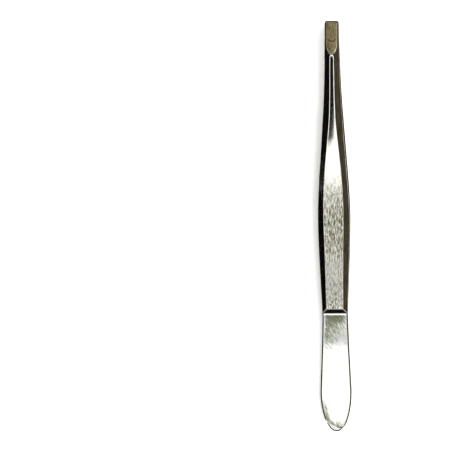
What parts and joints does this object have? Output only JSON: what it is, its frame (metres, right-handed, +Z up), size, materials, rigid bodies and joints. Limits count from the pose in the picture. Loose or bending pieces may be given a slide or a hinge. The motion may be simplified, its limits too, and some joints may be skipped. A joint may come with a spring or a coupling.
{
  "type": "tweezers",
  "caption": "Flat-tipped steel tweezers: sprung arms welded at a rounded butt plate, with raised brushed grip flats, slim ridged necks and square-ended gripping tips.",
  "frame": {"origin": "middle of the bounding box in X and Y, on the surface that the tweezers lie on", "axes": "+Y from the butt end to the tips, +X across the arms, +Z up from the surface; the arms lie one above the other"},
  "size_m": [0.0072, 0.095, 0.0127],
  "materials": {
    "steel": "ground and brushed along the arm, bevels polished",
    "weld": "fused metal inside the joint, unfinished"
  },
  "bodies": {
    "butt": {"upper_heel": "steel", "lower_heel": "steel", "weld_nugget_rear": "weld", "weld_nugget_front": "weld"},
    "upper_arm": {"upper_blade": "steel"},
    "lower_arm": {"lower_blade": "steel"}
  },
  "joints": [
    {"name": "upper_arm_flex", "type": "hinge", "parent": "butt", "child": "upper_arm", "pos_m": [0, -0.02511, 0.00359], "axis": [-1, 0, 0], "range_deg": [0, 1.98], "stiffness_Nm_per_rad": 3},
    {"name": "lower_arm_flex", "type": "hinge", "parent": "butt", "child": "lower_arm", "pos_m": [0, -0.02502, 0.00229], "axis": [1, 0, 0], "range_deg": [0, 1.98], "stiffness_Nm_per_rad": 3}
  ],
  "couplings": [
    {"joint": "lower_arm_flex", "follows": "upper_arm_flex", "ratio": 1}
  ]
}
